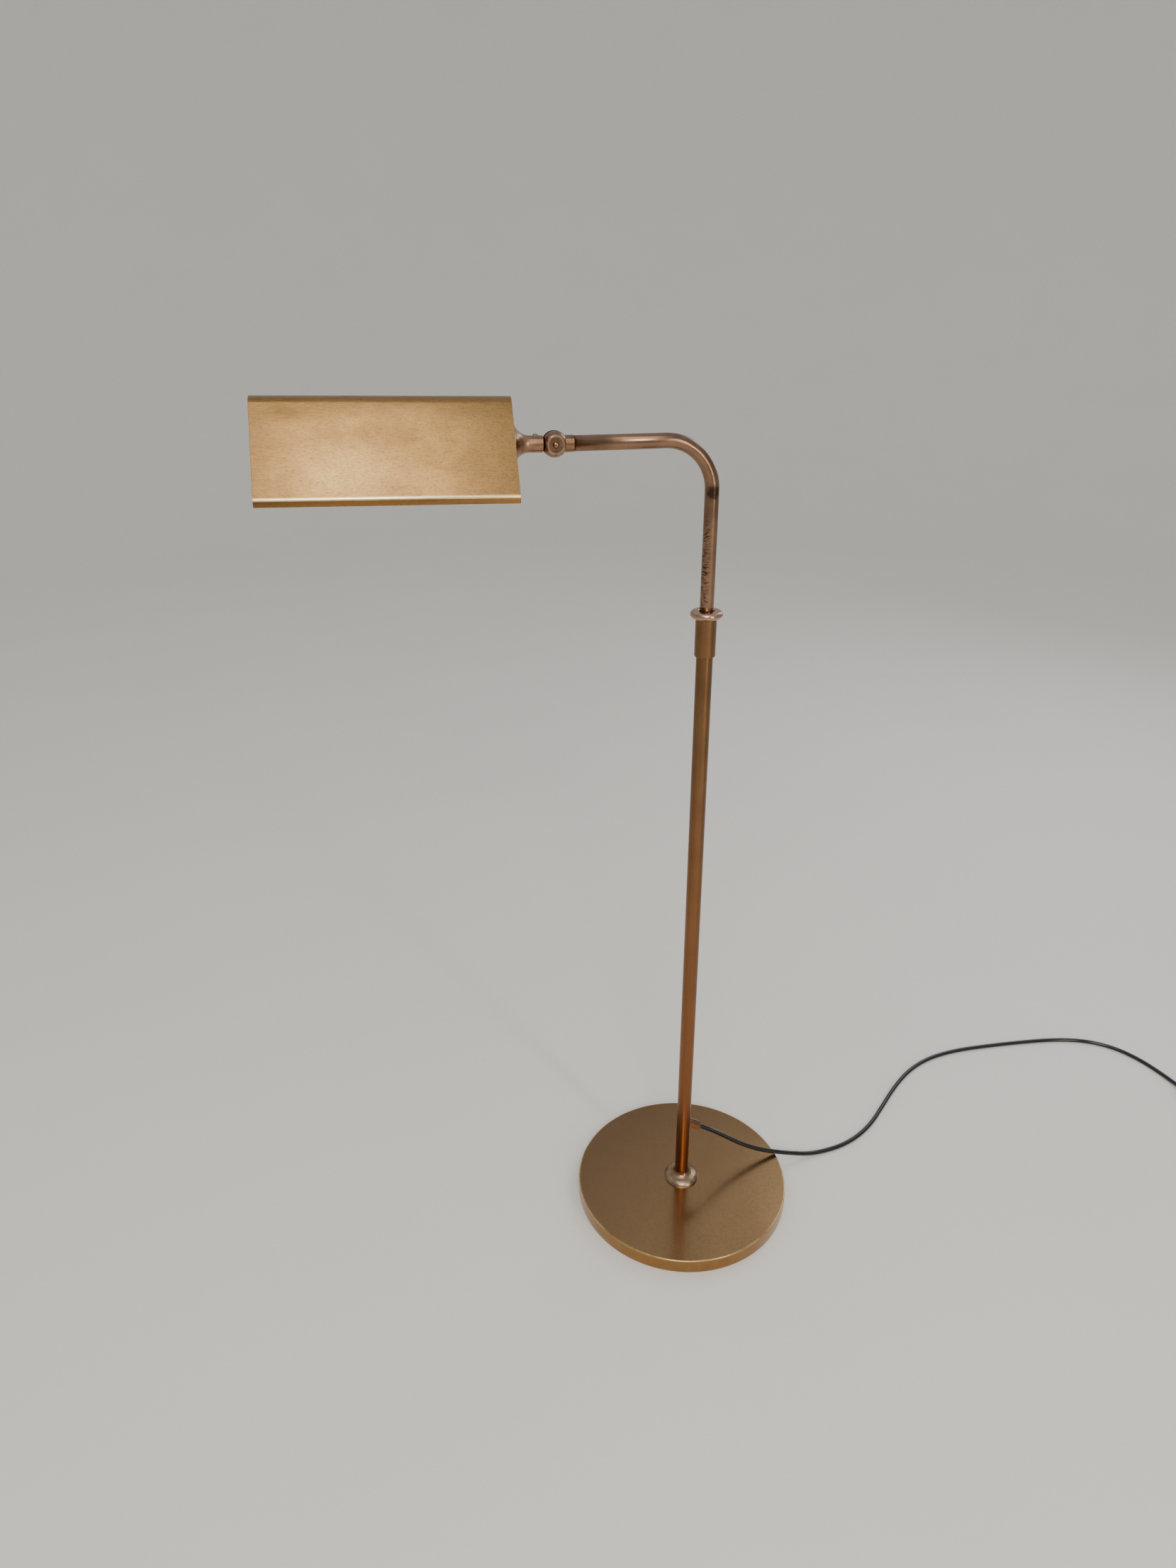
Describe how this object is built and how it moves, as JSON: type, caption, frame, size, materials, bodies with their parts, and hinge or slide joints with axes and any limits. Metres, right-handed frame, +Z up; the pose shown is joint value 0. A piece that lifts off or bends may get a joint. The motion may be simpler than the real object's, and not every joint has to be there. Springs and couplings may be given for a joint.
{
  "type": "pharmacy floor lamp",
  "caption": "Low brass reading lamp: weighted disc base, sliding column with a bent arm, and a tent-shaped shade on a tilting, swivelling knuckle.",
  "frame": {"origin": "centre of the base on the floor, on the column's axis", "axes": "+Z up along the column; the arm and the shade point along -X; -Y is the side they are looked at from, with the lever behind"},
  "size_m": [1.2061, 0.284, 0.9161],
  "materials": {
    "shade": "aged brushed",
    "arm": "aged satin",
    "column": "dark lacquered",
    "clamp": "aged polished",
    "base": "dark lacquered, worn rim",
    "foot": "worn",
    "gland": "turned",
    "iron": "rough",
    "felt": "felt",
    "steel": "zinc plated",
    "nylon": "nylon",
    "fibre": "vulcanised fibre",
    "rubber": "black",
    "cord": "black sheath",
    "lead": "heat-proof lead",
    "switch": "black",
    "holder": "moulded",
    "glass": "opal",
    "cap": "plain",
    "pins": "nickel plated"
  },
  "bodies": {
    "stand": {"base_cover": "base", "base_weight": "iron", "base_pad": "felt", "base_washer": "steel", "base_nut": "steel", "base_stay": "steel", "foot_ring": "foot", "foot_collar": "foot", "outer_tube": "column", "column_plug": "steel", "gland_body": "gland", "gland_bush": "rubber", "clamp_sleeve": "column", "clamp_collet": "nylon", "cord_from_gland": "cord", "cord_to_coil": "cord", "cord_to_plug": "cord", "cord_coil": "cord", "cord_tie": "rubber", "switch_base": "switch", "switch_cover": "switch", "switch_screws": "steel", "switch_contacts": "pins", "switch_pin": "steel", "plug_body": "switch", "plug_pins": "pins"},
    "lock_ring": {"lock_ring": "clamp"},
    "tube_guide": {"guide_bush": "nylon"},
    "arm": {"inner_tube": "arm", "inner_lead": "lead", "knuckle_fork": "arm", "pivot_pin": "clamp", "pivot_washer": "steel"},
    "clamp": {"clamp_nut": "clamp", "clamp_bar": "clamp"},
    "neck": {"neck_stem": "arm", "neck_washer": "fibre", "neck_nut": "steel"},
    "shade": {"neck_trumpet": "arm", "shade_shell": "shade", "shade_cap_right": "shade", "shade_cap_left": "shade", "holder_bracket": "steel", "bracket_screws": "steel", "holder_nut": "steel", "holder_stay": "steel", "lampholder": "holder", "holder_contact": "clamp", "bulb_cap": "cap", "bulb_glass": "glass", "head_lead": "lead"},
    "rocker": {"switch_rocker": "switch"}
  },
  "joints": [
    {"name": "lock_ring_turn", "type": "hinge", "parent": "stand", "child": "lock_ring", "pos_m": [0, 0, 0.7183], "axis": [0, 0, 1], "range_deg": [0, 120]},
    {"name": "height_slide", "type": "slide", "parent": "stand", "child": "tube_guide", "axis": [0, 0, 1], "range_m": [-0.1, 0.3]},
    {"name": "arm_swivel", "type": "hinge", "parent": "tube_guide", "child": "arm", "pos_m": [0, 0, 0.7], "axis": [0, 0, 1], "range_deg": [-170, 170]},
    {"name": "clamp_lever", "type": "hinge", "parent": "arm", "child": "clamp", "pos_m": [-0.14, 0.012, 0.873], "axis": [0, 1, 0], "range_deg": [-90, 90]},
    {"name": "knuckle_tilt", "type": "hinge", "parent": "arm", "child": "neck", "pos_m": [-0.14, 0, 0.873], "axis": [0, 1, 0], "range_deg": [-90, 90]},
    {"name": "shade_roll", "type": "hinge", "parent": "neck", "child": "shade", "pos_m": [-0.14, 0, 0.873], "axis": [-0.9997, 0, 0.0227], "range_deg": [-120, 120]},
    {"name": "switch_rock", "type": "hinge", "parent": "stand", "child": "rocker", "pos_m": [0.716, -0.036, 0.0125], "axis": [1, 0, 0], "range_deg": [-14, 0]}
  ]
}
